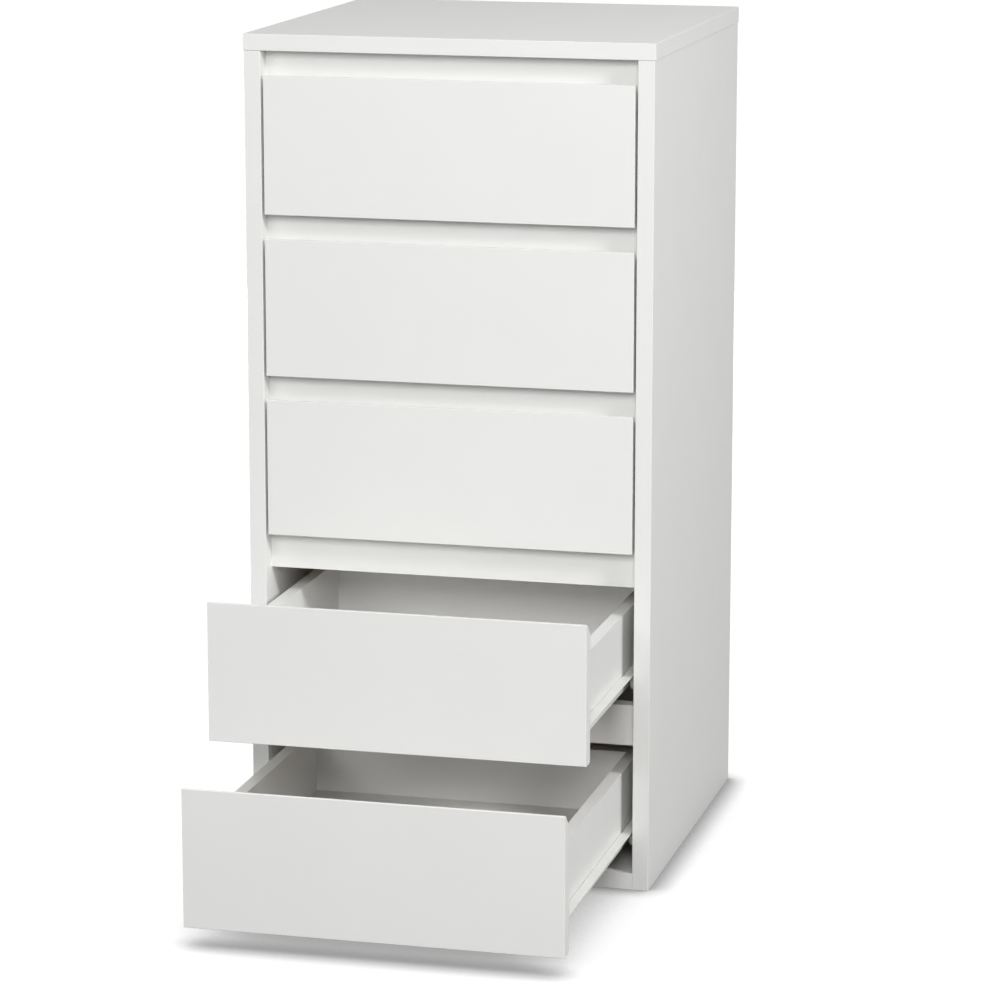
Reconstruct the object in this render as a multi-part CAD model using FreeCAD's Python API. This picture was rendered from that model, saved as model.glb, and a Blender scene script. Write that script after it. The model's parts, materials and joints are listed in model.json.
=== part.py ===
import FreeCAD, Part
import math
import os

from FreeCAD import Matrix, Vector

# Five-drawer chest for 12 x 12 inch craft paper, built from white melamine board.
# Frame: origin at the middle of the carcass footprint, on the floor. +X is to the
# right as seen from the front, +Y runs to the back, +Z is up. Millimetres.
# The drawers are numbered from the top. The lowest two are stored pulled out.

# ---------------------------------------------------------------- carcass
carcass_width = 400.0
carcass_depth = 405.0
carcass_height = 820.0
board = 16.0                  # melamine board of the carcass, rails and drawer fronts
top_overhang = 1.0            # top panel past each side panel
edge_round = 0.6              # eased edge of the boards' edging
joint_line = 0.15             # gap between boards that are drawn together
cut_past = 1.0                # cutters run this far past a face
same_place = 1e-4             # two places count as one within this

back_thickness = 3.0          # hardboard back, slid into grooves
back_inset = 10.0             # from the rear edges to the back panel
groove_depth = 6.0
groove_clearance = 0.1        # each side of a hardboard in its groove

rail_setback = 18.0           # front plane to the rails between the drawers
rail_below_lip = 12.5         # rail reaches this far below the lip of the front under it
rail_above_edge = 4.0         # and this far above the lower edge of the front over it

# ---------------------------------------------------------------- drawer fronts
drawer_count = 5
bottom_reveal = 2.5           # gap under the lowest front
side_reveal = 2.5             # gap beside each front
grip_gap = 23.5               # finger gap over each front
lip_width = 3.0               # flat top of a front, before the bevel
bevel_drop = 13.5             # how far the finger bevel falls to the back face

# ---------------------------------------------------------------- drawer boxes
box_board = 12.0              # thickness of the drawer sides and back
box_drop = 38.0               # lip of the front to the top of the box
box_rise = 20.5               # lower edge of the front to the underside of the box
rear_clearance = 26.0         # closed box to the back panel
bottom_thickness = 3.0        # hardboard drawer bottom
bottom_lift = 10.0            # underside of the box to the drawer bottom
box_groove_depth = 5.0

# ---------------------------------------------------------------- roller runners
runner_gap = 12.5             # box side to carcass side, the room of a roller runner
steel = 1.2                   # sheet of both runner members
drawer_member_height = 16.0   # above the underside of the box
wrap_width = 10.0             # flange under the box side
flange_gap = 2.5              # running flange to the carcass side
channel_width = 10.2          # flanges of the carcass member, from the side panel
channel_gap = 0.8             # running flange above the carcass member
roller_diameter = 17.4
roller_width = 6.5
roller_play = 0.3             # between a roller and each steel face that it runs on
roller_side_play = 0.4
roller_chamfer = 0.8
axle_diameter = 5.0
axle_clearance = 0.05         # radial, roller bore on its axle
axle_head_diameter = 8.0
axle_head = 1.0
roller_inset = 12.0           # roller axle from the end of its member
roller_window = 24.0          # flanges cut away round the carcass roller
stop_height = 3.0             # bump that stops the drawer roller
stop_length = 2.0
travel_loss = 75.0            # length of runner that stays inside when fully open
drawer_4_from_stop = 85.0     # stored position, before the end of the travel
drawer_5_from_stop = 3.0

# ---------------------------------------------------------------- fittings
bore_clearance = 0.1          # radial, screws, dowels and cams in their bores
cam_diameter = 15.0
cam_depth = 12.5
small_cam_diameter = 12.0     # cams of the thin drawer sides
small_cam_depth = 9.5
cam_reach = 24.0              # joint face to the middle of the cam
bolt_thread_diameter = 6.0
bolt_thread_length = 11.0
bolt_neck_diameter = 4.8
bolt_head_diameter = 6.8
bolt_head_length = 4.0
bolt_bore_diameter = 8.0
slot_clearance = 0.2          # bolt in the slot of its cam
driver_slot_length = 7.0      # cross slot in the face of a cam
driver_slot_width = 1.2
driver_slot_depth = 1.8
dowel_diameter = 8.0
dowel_length = 30.0
dowel_in_face = 10.0          # share of the dowel in the board it points into
dowel_chamfer = 1.0
fitting_inset = 50.0          # fittings from the front and rear edges
dowel_step = 32.0             # dowel beside its cam
rail_fitting_step = 10.0      # cam and dowel from the middle of a rail
screw_diameter = 3.4
screw_head_diameter = 6.0
screw_head = 1.2
runner_screw_length = 10.0
back_screw_length = 36.0
back_screw_inset = 18.0       # from the lower and upper edge of the drawer back
nail_diameter = 2.0
nail_length = 16.0
nail_head_diameter = 4.0
nail_head = 0.6
screw_inset = 40.0            # runner screws from the ends of the runner

# ---------------------------------------------------------------- worked out
half_width = carcass_width / 2
inner_half = half_width - board
front_y = -carcass_depth / 2
rear_y = carcass_depth / 2
top_under = carcass_height - board
back_y = rear_y - back_inset - back_thickness

front_pitch = (top_under - board - bottom_reveal) / drawer_count
front_height = front_pitch - grip_gap
front_half = inner_half - side_reveal
box_height = front_height - box_drop - box_rise
box_half = inner_half - runner_gap
box_front_y = front_y + board
box_length = carcass_depth - board - back_inset - back_thickness - rear_clearance
box_inner_half = box_half - box_board

runner_front_y = front_y + rail_setback
travel = box_length - travel_loss
roller_radius = roller_diameter / 2
web_face = box_half + steel               # outer face of the drawer member's web
flange_edge = inner_half - flange_gap     # outer edge of its running flange
channel_face = inner_half - steel         # inner face of the carcass member's web
channel_edge = inner_half - channel_width
channel_inside = roller_diameter + 2 * roller_play
channel_height = channel_inside + 2 * steel


def front_bottom(number):
    """Height of the lower edge of a drawer front; 1 is the top drawer."""
    return board + bottom_reveal + (drawer_count - number) * front_pitch


def box_bottom(number):
    """Height of the underside of a drawer box."""
    return front_bottom(number) + box_rise


def running_height(number):
    """Underside of the running flange, which the carcass roller carries."""
    return box_bottom(number) + drawer_member_height - steel


def channel_bottom(number):
    return running_height(number) - channel_gap - channel_height


def opened_by(number):
    """How far a drawer is stored pulled out."""
    if number == drawer_count - 1:
        return travel - drawer_4_from_stop
    if number == drawer_count:
        return travel - drawer_5_from_stop
    return 0.0


# ---------------------------------------------------------------- shape helpers
def block(x0, x1, y0, y1, z0, z1):
    return Part.makeBox(x1 - x0, y1 - y0, z1 - z0, Vector(x0, y0, z0))


def rod(start, end, radius):
    """Round bar between two points."""
    along = end - start
    return Part.makeCylinder(radius, along.Length, start, along)


def mirrored(shape):
    """The same piece for the other side of the chest."""
    return shape.mirror(Vector(0, 0, 0), Vector(1, 0, 0))


def drilled(shape, tools):
    """Cuts only the tools that reach the piece."""
    reaching = [tool for tool in tools if tool.BoundBox.intersect(shape.BoundBox)]
    return shape.cut(reaching) if reaching else shape


def eased(shape, chosen):
    """Rounds the straight edges that the test picks by their middle and direction."""
    edges = []
    for edge in shape.Edges:
        middle = edge.valueAt((edge.FirstParameter + edge.LastParameter) / 2)
        along = edge.tangentAt(edge.FirstParameter)
        if chosen(middle, along):
            edges.append(edge)
    return shape.makeFillet(edge_round, edges)


def rims(bar):
    """The two end circles of a round bar."""
    return [edge for edge in bar.Edges if len(edge.Vertexes) == 1]


def near(value, target):
    return abs(value - target) < same_place


def placed(shape, origin, x_axis, z_axis):
    """Moves a fitting from its own frame to a joint between two boards."""
    y_axis = z_axis.cross(x_axis)
    frame = Matrix(
        x_axis.x, y_axis.x, z_axis.x, origin.x,
        x_axis.y, y_axis.y, z_axis.y, origin.y,
        x_axis.z, y_axis.z, z_axis.z, origin.z,
        0, 0, 0, 1,
    )
    moved = shape.copy()
    moved.Placement = FreeCAD.Placement(frame)
    return moved


def save(node, solids):
    """Writes one STEP file, a group of solids where the piece repeats."""
    shape = solids[0] if len(solids) == 1 else Part.makeCompound(solids)
    shape.exportStep("parts/" + node + ".step")


# ---------------------------------------------------------------- cam joints
# In a fitting's own frame the joint face is x = 0, the bolt is screwed in towards -x
# and the cam sits at +x, its slotted face towards +z at half the board's thickness.
def cam_bolt():
    thread = rod(Vector(-bolt_thread_length, 0, 0), Vector(0, 0, 0), bolt_thread_diameter / 2)
    neck = rod(Vector(0, 0, 0), Vector(cam_reach, 0, 0), bolt_neck_diameter / 2)
    head_start = cam_reach - bolt_head_length / 2
    head = rod(
        Vector(head_start, 0, 0),
        Vector(head_start + bolt_head_length, 0, 0),
        bolt_head_diameter / 2,
    )
    return thread.fuse([neck, head]).removeSplitter()


def cam_disc(diameter, depth, thickness):
    face = thickness / 2 - bore_clearance
    floor = thickness / 2 - depth
    disc = rod(Vector(cam_reach, 0, floor), Vector(cam_reach, 0, face), diameter / 2)
    head_half = bolt_head_diameter / 2 + slot_clearance
    neck_half = bolt_neck_diameter / 2 + slot_clearance
    head_start = cam_reach - bolt_head_length / 2 - slot_clearance
    head_end = cam_reach + bolt_head_length / 2 + slot_clearance
    below = floor - cut_past
    head_slot = block(head_start, head_end, -head_half, head_half, below, head_half)
    neck_slot = block(cam_reach - diameter, head_start + cut_past, -neck_half, neck_half, below, neck_half)
    long = driver_slot_length / 2
    wide = driver_slot_width / 2
    deep, above = face - driver_slot_depth, face + cut_past
    slot_in = block(cam_reach - long, cam_reach + long, -wide, wide, deep, above)
    slot_across = block(cam_reach - wide, cam_reach + wide, -long, long, deep, above)
    return disc.cut([head_slot, neck_slot, slot_in, slot_across])


def cam_bores(diameter, depth, thickness):
    """Bores for one cam joint: the bolt's thread, the bolt's way and the cam's pocket."""
    thread = rod(
        Vector(-bolt_thread_length - bore_clearance, 0, 0),
        Vector(0, 0, 0),
        bolt_thread_diameter / 2 + bore_clearance,
    )
    way = rod(Vector(0, 0, 0), Vector(cam_reach, 0, 0), bolt_bore_diameter / 2)
    pocket = rod(
        Vector(cam_reach, 0, thickness / 2 - depth - bore_clearance),
        Vector(cam_reach, 0, thickness / 2 + cut_past),
        diameter / 2 + bore_clearance,
    )
    return thread, way, pocket


def dowel():
    pin = rod(Vector(-dowel_in_face, 0, 0), Vector(dowel_length - dowel_in_face, 0, 0), dowel_diameter / 2)
    return pin.makeChamfer(dowel_chamfer, rims(pin))


def dowel_bore():
    end = dowel_length - dowel_in_face
    return rod(
        Vector(-dowel_in_face - bore_clearance, 0, 0),
        Vector(end + bore_clearance, 0, 0),
        dowel_diameter / 2 + bore_clearance,
    )


def panel_joints():
    """Where boards of the carcass meet: (point on the joint face, bolt way, cam face way)."""
    up, down = Vector(0, 0, 1), Vector(0, 0, -1)
    back = Vector(0, 1, 0)
    cams = []
    dowels = []
    mid_side = half_width - board / 2
    for hand in (-1, 1):
        inward = Vector(-hand, 0, 0)
        for y, step in ((front_y + fitting_inset, dowel_step), (rear_y - fitting_inset, -dowel_step)):
            cams.append((Vector(hand * mid_side, y, top_under), down, inward))
            dowels.append((Vector(hand * mid_side, y + step, top_under), down, inward))
            cams.append((Vector(hand * inner_half, y, board / 2), inward, down))
            dowels.append((Vector(hand * inner_half, y + step, board / 2), inward, up))
        for number in range(1, drawer_count + 1):
            low, high = rail_heights(number)
            middle = (low + high) / 2
            rail_y = front_y + rail_setback + board / 2
            cams.append((Vector(hand * inner_half, rail_y, middle + rail_fitting_step), inward, back))
            dowels.append((Vector(hand * inner_half, rail_y, middle - rail_fitting_step), inward, back))
    return cams, dowels


# ---------------------------------------------------------------- carcass
def rail_heights(number):
    """Lower and upper edge of the rail over a drawer; the top one meets the top panel."""
    lip = front_bottom(number) + front_height
    low = lip - rail_below_lip
    if number == 1:
        return low, top_under
    return low, front_bottom(number - 1) + rail_above_edge


def back_panel(clearance=0.0):
    """Hardboard back; with a clearance it is the cutter for the grooves round it."""
    reach = groove_depth - groove_clearance if clearance == 0 else groove_depth
    return block(
        -inner_half - reach, inner_half + reach,
        back_y - clearance, back_y + back_thickness + clearance,
        board - reach, top_under + reach,
    )


def side_panel(tools):
    """Right-hand side; its front edge is eased."""
    panel = block(inner_half, half_width, front_y, rear_y, 0, top_under - joint_line)
    panel = eased(panel, lambda middle, along: near(middle.y, front_y) and near(abs(along.z), 1))
    return drilled(panel, tools)


def top_panel(tools):
    panel = block(
        -half_width - top_overhang, half_width + top_overhang,
        front_y, rear_y, top_under, carcass_height,
    )
    panel = eased(panel, lambda middle, along: True)
    return drilled(panel, tools)


def bottom_panel(tools):
    panel = block(-inner_half, inner_half, front_y, rear_y, 0, board)
    return drilled(panel, tools)


def front_rail(number, tools):
    low, high = rail_heights(number)
    y = front_y + rail_setback
    return drilled(block(-inner_half, inner_half, y, y + board, low, high), tools)


# ---------------------------------------------------------------- runners
def roller(y, z, inner_x):
    """Plain nylon roller on an axle along X, with its bore."""
    start = Vector(inner_x, y, z)
    end = Vector(inner_x + roller_width, y, z)
    wheel = rod(start, end, roller_radius)
    wheel = wheel.makeChamfer(roller_chamfer, rims(wheel))
    return wheel.cut(rod(start, end, axle_diameter / 2 + axle_clearance))


def drawer_roller_centre(number):
    """Axle of the roller at the rear of the drawer member: y, z."""
    y = box_front_y + box_length - roller_inset
    z = channel_bottom(number) + steel + roller_play + roller_radius
    return y, z


def carcass_roller_centre(number):
    """Axle of the roller at the front of the carcass member: y, z."""
    y = runner_front_y + roller_inset
    z = running_height(number) - roller_play - roller_radius
    return y, z


def carcass_runner(number):
    """Right-hand carcass member: a channel, cut away round its front roller, with its axle."""
    low = channel_bottom(number)
    high = low + channel_height
    y0 = runner_front_y
    y1 = y0 + box_length
    web = block(channel_face, inner_half, y0, y1, low, high)
    lower = block(channel_edge, inner_half, y0 + roller_window, y1, low, low + steel)
    upper = block(channel_edge, inner_half, y0 + roller_window, y1, high - steel, high)
    end_stop = block(channel_edge, inner_half, y1 - steel, y1, low, low + channel_height / 2)
    drawer_y, _ = drawer_roller_centre(number)
    bite = math.sqrt(roller_radius ** 2 - (roller_radius - stop_height + roller_play) ** 2)
    stop_y = drawer_y - travel - bite - roller_play
    bump = block(channel_edge, inner_half, stop_y - stop_length, stop_y, low, low + steel + stop_height)
    y, z = carcass_roller_centre(number)
    roller_outer = channel_face - roller_side_play
    head_outer = roller_outer - roller_width - roller_side_play
    axle = rod(Vector(head_outer - axle_head, y, z), Vector(channel_face, y, z), axle_diameter / 2)
    head = rod(Vector(head_outer - axle_head, y, z), Vector(head_outer, y, z), axle_head_diameter / 2)
    return web.fuse([lower, upper, end_stop, bump, axle, head]).removeSplitter()


def carcass_roller(number):
    y, z = carcass_roller_centre(number)
    return roller(y, z, channel_face - roller_side_play - roller_width)


def drawer_runner(number):
    """Right-hand drawer member: wrap under the box side, web, running flange and axle."""
    low = box_bottom(number)
    high = low + drawer_member_height
    y0 = box_front_y
    y1 = y0 + box_length
    web = block(box_half, web_face, y0, y1, low - steel, high)
    wrap = block(box_half - wrap_width, web_face, y0, y1, low - steel, low)
    flange = block(box_half, flange_edge, y0, y1, high - steel, high)
    y, z = drawer_roller_centre(number)
    head_inner = web_face + 2 * roller_side_play + roller_width
    axle = rod(Vector(web_face, y, z), Vector(head_inner + axle_head, y, z), axle_diameter / 2)
    head = rod(Vector(head_inner, y, z), Vector(head_inner + axle_head, y, z), axle_head_diameter / 2)
    return web.fuse([wrap, flange, axle, head]).removeSplitter()


def drawer_roller(number):
    y, z = drawer_roller_centre(number)
    return roller(y, z, web_face + roller_side_play)


# ---------------------------------------------------------------- screws
def screw(point, way, length, sunk=False):
    """Screw with its head on a face at a point; way is the direction it is driven."""
    shank = rod(point, point + way * length, screw_diameter / 2)
    if sunk:
        head = Part.makeCone(screw_head_diameter / 2, screw_diameter / 2, screw_head, point, way)
    else:
        head = rod(point - way * screw_head, point, screw_head_diameter / 2)
    return shank.fuse(head).removeSplitter()


def screw_bore(point, way, length, sunk=False):
    bore = rod(point, point + way * (length + bore_clearance), screw_diameter / 2 + bore_clearance)
    if not sunk:
        return bore
    sink = Part.makeCone(
        screw_head_diameter / 2 + bore_clearance,
        screw_diameter / 2 + bore_clearance,
        screw_head + bore_clearance,
        point,
        way,
    )
    return bore.fuse(sink)


def runner_screw_rows(y0):
    """Three screws along a runner that starts at y0."""
    return [y0 + screw_inset, y0 + box_length / 2, y0 + box_length - screw_inset]


def carcass_runner_screws(number):
    """(head point, way, length) of the screws of the right-hand carcass member."""
    height = channel_bottom(number) + channel_height / 2
    outward = Vector(1, 0, 0)
    return [
        (Vector(channel_face, y, height), outward, runner_screw_length)
        for y in runner_screw_rows(runner_front_y)
    ]


def drawer_runner_screws(number):
    height = box_bottom(number) + bottom_lift / 2
    inward = Vector(-1, 0, 0)
    return [
        (Vector(web_face, y, height), inward, runner_screw_length)
        for y in runner_screw_rows(box_front_y)
    ]


def box_back_heights(number):
    """Lower and upper edge of the drawer back, which stands on the drawer bottom."""
    low = box_bottom(number) + bottom_lift + bottom_thickness + 2 * groove_clearance
    return low, box_bottom(number) + box_height


def drawer_back_screws(number):
    """Sunk screws through the right-hand box side into the end of the drawer back."""
    low, high = box_back_heights(number)
    y = box_front_y + box_length - box_board / 2
    return [
        (Vector(box_half, y, height), Vector(-1, 0, 0), back_screw_length)
        for height in (low + back_screw_inset, high - back_screw_inset)
    ]


def nail_places(number):
    """Nails through the drawer bottom into the drawer back, right-hand one."""
    y = box_front_y + box_length - box_board / 2
    return Vector(box_inner_half / 2, y, box_bottom(number) + bottom_lift + groove_clearance)


def nail(point, clearance=0.0):
    up = Vector(0, 0, 1)
    shank = rod(point, point + up * (nail_length + clearance), nail_diameter / 2 + clearance)
    if clearance:
        return shank
    head = rod(point - up * nail_head, point, nail_head_diameter / 2)
    return shank.fuse(head).removeSplitter()


# ---------------------------------------------------------------- drawers
def drawer_bottom(number):
    """Hardboard bottom, held in grooves of the sides and the front."""
    low = box_bottom(number) + bottom_lift + groove_clearance
    reach = box_groove_depth - groove_clearance
    panel = block(
        -box_inner_half - reach, box_inner_half + reach,
        box_front_y - reach, box_front_y + box_length,
        low, low + bottom_thickness,
    )
    right = nail(nail_places(number), bore_clearance)
    return panel.cut([right, mirrored(right)])


def bottom_groove(number):
    low = box_bottom(number) + bottom_lift
    high = low + bottom_thickness + 2 * groove_clearance
    reach = box_groove_depth
    return block(
        -box_inner_half - reach, box_inner_half + reach,
        box_front_y - reach, box_front_y + box_length + cut_past,
        low, high,
    )


def drawer_front(number, tools):
    """Front board with a flat lip and a bevel behind it for the fingers."""
    low = front_bottom(number)
    lip = low + front_height
    face = front_y
    back = front_y + board
    outline = [
        Vector(-front_half, face, low),
        Vector(-front_half, back, low),
        Vector(-front_half, back, lip - bevel_drop),
        Vector(-front_half, face + lip_width, lip),
        Vector(-front_half, face, lip),
        Vector(-front_half, face, low),
    ]
    front = Part.Face(Part.makePolygon(outline)).extrude(Vector(2 * front_half, 0, 0))
    front = eased(front, lambda middle, along: near(middle.y, face))
    return drilled(front, tools)


def box_side(number, tools):
    """Right-hand side of a drawer box."""
    low = box_bottom(number)
    side = block(
        box_inner_half, box_half,
        box_front_y, box_front_y + box_length,
        low, low + box_height,
    )
    return drilled(side, tools)


def box_back(number, tools):
    low, high = box_back_heights(number)
    y1 = box_front_y + box_length
    back = block(-box_inner_half, box_inner_half, y1 - box_board, y1, low, high)
    return drilled(back, tools)


def front_joint(number):
    """Cam joint of the right-hand box side with the front: point, bolt way, cam face way."""
    low, high = box_back_heights(number)
    middle = Vector(box_half - box_board / 2, box_front_y, (low + high) / 2)
    return middle, Vector(0, 1, 0), Vector(-1, 0, 0)


def drawer_pieces(number):
    """Every piece of one drawer at its closed place, by node name."""
    joint = front_joint(number)
    small_cam = (small_cam_diameter, small_cam_depth, box_board)
    right_bores = [placed(bore, *joint) for bore in cam_bores(*small_cam)]
    right_fixings = [
        placed(cam_bolt(), *joint),
        placed(cam_disc(*small_cam), *joint),
    ]
    for place in drawer_runner_screws(number):
        right_bores.append(screw_bore(*place))
        right_fixings.append(screw(*place))
    for place in drawer_back_screws(number):
        right_bores.append(screw_bore(*place, sunk=True))
        right_fixings.append(screw(*place, sunk=True))
    right_bores.append(nail(nail_places(number), bore_clearance))
    right_fixings.append(nail(nail_places(number)))
    tools = right_bores + [mirrored(bore) for bore in right_bores] + [bottom_groove(number)]

    right_side = box_side(number, tools)
    runner = drilled(drawer_runner(number), right_bores)
    wheel = drawer_roller(number)
    name = "drawer_%d_" % number
    return {
        name + "front": [drawer_front(number, tools)],
        name + "left_side": [mirrored(right_side)],
        name + "right_side": [right_side],
        name + "back": [box_back(number, tools)],
        name + "bottom": [drawer_bottom(number)],
        name + "runners": [mirrored(runner), runner],
        name + "rollers": [mirrored(wheel), wheel],
        name + "fixings": right_fixings + [mirrored(piece) for piece in right_fixings],
    }


def carcass_pieces():
    """Every piece of the carcass, by node name."""
    numbers = range(1, drawer_count + 1)
    cams, dowels = panel_joints()
    carcass_cam = (cam_diameter, cam_depth, board)
    bores = [placed(bore, *joint) for joint in cams for bore in cam_bores(*carcass_cam)]
    bores += [placed(dowel_bore(), *joint) for joint in dowels]
    bores.append(back_panel(groove_clearance))
    fittings = []
    for joint in cams:
        fittings.append(placed(cam_bolt(), *joint))
        fittings.append(placed(cam_disc(*carcass_cam), *joint))

    places = [place for number in numbers for place in carcass_runner_screws(number)]
    screw_bores = [screw_bore(*place) for place in places]
    screws = [screw(*place) for place in places]
    runners = [drilled(carcass_runner(number), screw_bores) for number in numbers]
    right_side = side_panel(bores + screw_bores)

    pieces = {
        "top_panel": [top_panel(bores)],
        "left_side_panel": [mirrored(right_side)],
        "right_side_panel": [right_side],
        "bottom_panel": [bottom_panel(bores)],
        "back_panel": [back_panel()],
        "left_carcass_runners": [mirrored(runner) for runner in runners],
        "right_carcass_runners": runners,
        "runner_screws": screws + [mirrored(piece) for piece in screws],
        "cam_fittings": fittings,
        "dowels": [placed(dowel(), *joint) for joint in dowels],
    }
    for number in numbers:
        wheel = carcass_roller(number)
        pieces["rail_over_drawer_%d" % number] = [front_rail(number, bores)]
        pieces["carcass_rollers_%d" % number] = [mirrored(wheel), wheel]
    return pieces


def main():
    os.makedirs("parts", exist_ok=True)
    for node, solids in carcass_pieces().items():
        save(node, solids)
    for number in range(1, drawer_count + 1):
        out = Vector(0, -opened_by(number), 0)
        for node, solids in drawer_pieces(number).items():
            save(node, [solid.translated(out) for solid in solids])
    print("travel", travel, "drawers out", [opened_by(n) for n in range(1, drawer_count + 1)])
    print("front height", front_height, "pitch", front_pitch, "box height", box_height)


main()
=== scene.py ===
# %% [markdown]
# # Five-drawer chest for craft paper
#
# The chest is flat-pack furniture made of white board. Its boards and fittings come in
# as finished solids, each in its right place. This file gives them their finish, makes
# the rolled runners, the rollers and the screws again with the small forms that solids
# leave out, and adds a floor, lamps and a camera. All lengths are in metres, +Z is up
# and the drawers open towards -Y.

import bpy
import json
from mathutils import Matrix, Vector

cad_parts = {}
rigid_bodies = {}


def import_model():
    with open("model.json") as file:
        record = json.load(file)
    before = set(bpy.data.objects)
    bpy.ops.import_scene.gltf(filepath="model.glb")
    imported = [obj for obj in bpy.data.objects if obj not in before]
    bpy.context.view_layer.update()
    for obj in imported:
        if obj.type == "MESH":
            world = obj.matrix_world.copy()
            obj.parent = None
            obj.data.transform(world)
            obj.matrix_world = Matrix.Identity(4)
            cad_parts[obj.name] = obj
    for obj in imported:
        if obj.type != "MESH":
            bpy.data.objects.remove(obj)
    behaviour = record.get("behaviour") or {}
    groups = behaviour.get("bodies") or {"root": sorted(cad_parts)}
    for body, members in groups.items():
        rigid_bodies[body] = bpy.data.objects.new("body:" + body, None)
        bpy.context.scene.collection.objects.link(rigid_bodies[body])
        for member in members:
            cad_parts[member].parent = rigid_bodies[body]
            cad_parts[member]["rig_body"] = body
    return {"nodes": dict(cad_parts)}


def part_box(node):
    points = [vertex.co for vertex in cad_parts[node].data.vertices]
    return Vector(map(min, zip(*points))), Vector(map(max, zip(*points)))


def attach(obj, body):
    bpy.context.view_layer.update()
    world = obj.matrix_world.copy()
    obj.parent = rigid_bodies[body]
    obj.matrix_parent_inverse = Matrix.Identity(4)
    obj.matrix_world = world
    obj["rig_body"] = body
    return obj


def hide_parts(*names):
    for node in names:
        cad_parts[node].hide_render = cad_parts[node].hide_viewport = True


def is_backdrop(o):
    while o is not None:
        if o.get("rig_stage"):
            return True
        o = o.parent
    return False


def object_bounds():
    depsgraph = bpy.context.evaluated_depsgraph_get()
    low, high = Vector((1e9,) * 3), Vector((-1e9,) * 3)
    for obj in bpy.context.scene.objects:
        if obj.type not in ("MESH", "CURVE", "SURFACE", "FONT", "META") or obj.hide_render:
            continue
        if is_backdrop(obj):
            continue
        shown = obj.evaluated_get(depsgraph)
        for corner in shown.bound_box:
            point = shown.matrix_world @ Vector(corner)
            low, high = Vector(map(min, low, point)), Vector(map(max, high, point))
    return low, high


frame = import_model()
nodes = frame["nodes"]
cad_low, cad_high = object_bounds()
print("nodes:", len(nodes))
print("box:", [round(v, 4) for v in (*cad_low, *cad_high)])

# %% Modules
import json
import math

import bmesh
import bpy
from mathutils import Vector

# %% [markdown]
# ## Camera
#
# The chest is seen from the front, a little from the right and from above, as if from
# the far end of a room. A long lens that far away keeps the boards' edges almost
# parallel. A camera object could be aimed with a Track To constraint, but two plain
# angles in radians, a turn and a downward pitch, are easier to read and to adjust.

# %% Camera
camera_place = Vector((0.96407, -3.78823, 1.17448))
camera_turn = 0.2512
camera_pitch = 0.2096
lens_mm = 144.40

camera_data = bpy.data.cameras.new("camera")
camera_data.lens = lens_mm
camera_data.sensor_width = 36.0
camera = bpy.data.objects.new("camera", camera_data)
camera.location = camera_place
camera.rotation_euler = (math.pi / 2 - camera_pitch, 0.0, camera_turn)
bpy.context.scene.collection.objects.link(camera)
bpy.context.scene.camera = camera
distance = (camera_place - (Vector(cad_low) + Vector(cad_high)) / 2).length
print("camera", round(distance, 2), "m from the middle of the chest")

# %% [markdown]
# ## Tools for the finishes
#
# Every finish is a node tree on a Principled shader. It could be drawn by hand in the
# shader editor. In a script, small helpers keep it readable: they start a material, add
# a node with its settings, mix colours by a pattern, and turn a pattern into a bump.
# Patterns are read in Object coordinates, which are metres here, so a scale of 1000
# gives detail about a millimetre apart.

# %% A material and its nodes
def new_finish(name, colour, roughness):
    """Starts a material and returns it with its tree and its shader."""
    material = bpy.data.materials.new(name)
    material.use_nodes = True
    tree = material.node_tree
    shader = tree.nodes["Principled BSDF"]
    shader.inputs["Base Color"].default_value = (*colour, 1)
    shader.inputs["Roughness"].default_value = roughness
    return material, tree, shader


def add_node(tree, kind, inputs=(), **settings):
    """Adds a node; inputs holds pairs of a socket and a value or another node's output."""
    made = tree.nodes.new(kind)
    for name, value in settings.items():
        setattr(made, name, value)
    for socket, value in inputs:
        if isinstance(value, bpy.types.NodeSocket):
            tree.links.new(value, made.inputs[socket])
        else:
            made.inputs[socket].default_value = value
    return made


# %% Patterns
def place_on(tree):
    """The point on the piece, in metres."""
    return add_node(tree, "ShaderNodeTexCoord").outputs["Object"]


def noise(tree, scale, detail=2.0, vector=None):
    """Soft random pattern with about that many waves in a metre."""
    where = vector if vector is not None else place_on(tree)
    pattern = add_node(
        tree, "ShaderNodeTexNoise", [("Vector", where), ("Scale", scale), ("Detail", detail)]
    )
    return pattern.outputs["Fac"]


# %% Mixing and reckoning
def blend_colours(tree, amount, first, second):
    """Mixes two colours by a pattern."""
    mix = add_node(tree, "ShaderNodeMix", data_type="RGBA")
    tree.links.new(amount, mix.inputs["Factor"])
    for socket, colour in ((mix.inputs[6], first), (mix.inputs[7], second)):
        if isinstance(colour, bpy.types.NodeSocket):
            tree.links.new(colour, socket)
        else:
            socket.default_value = (*colour, 1)
    return mix.outputs[2]


def stretch(tree, value, low, high, out_low=0.0, out_high=1.0):
    """Maps a band of a pattern onto another band, and holds it there."""
    bands = [("From Min", low), ("From Max", high), ("To Min", out_low), ("To Max", out_high)]
    return add_node(tree, "ShaderNodeMapRange", [("Value", value), *bands]).outputs["Result"]


def reckon(tree, operation, *values):
    """Adds, multiplies or compares numbers and patterns, as the operation says."""
    return add_node(tree, "ShaderNodeMath", enumerate(values), operation=operation).outputs[0]


# %% Relief
def add_bump(tree, shader, height, depth, strength=1.0):
    """Raises and sinks the shading by a pattern; depth is in metres."""
    bump = add_node(
        tree, "ShaderNodeBump", [("Height", height), ("Distance", depth), ("Strength", strength)]
    )
    tree.links.new(bump.outputs["Normal"], shader.inputs["Normal"])


# %% Dressing a solid
def dress(material, *names):
    """Gives a finish to solids that keep their shape."""
    for name in names:
        for slot in nodes[name].material_slots:
            slot.material = material
    print(material.name, "on", len(names), "nodes")


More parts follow.
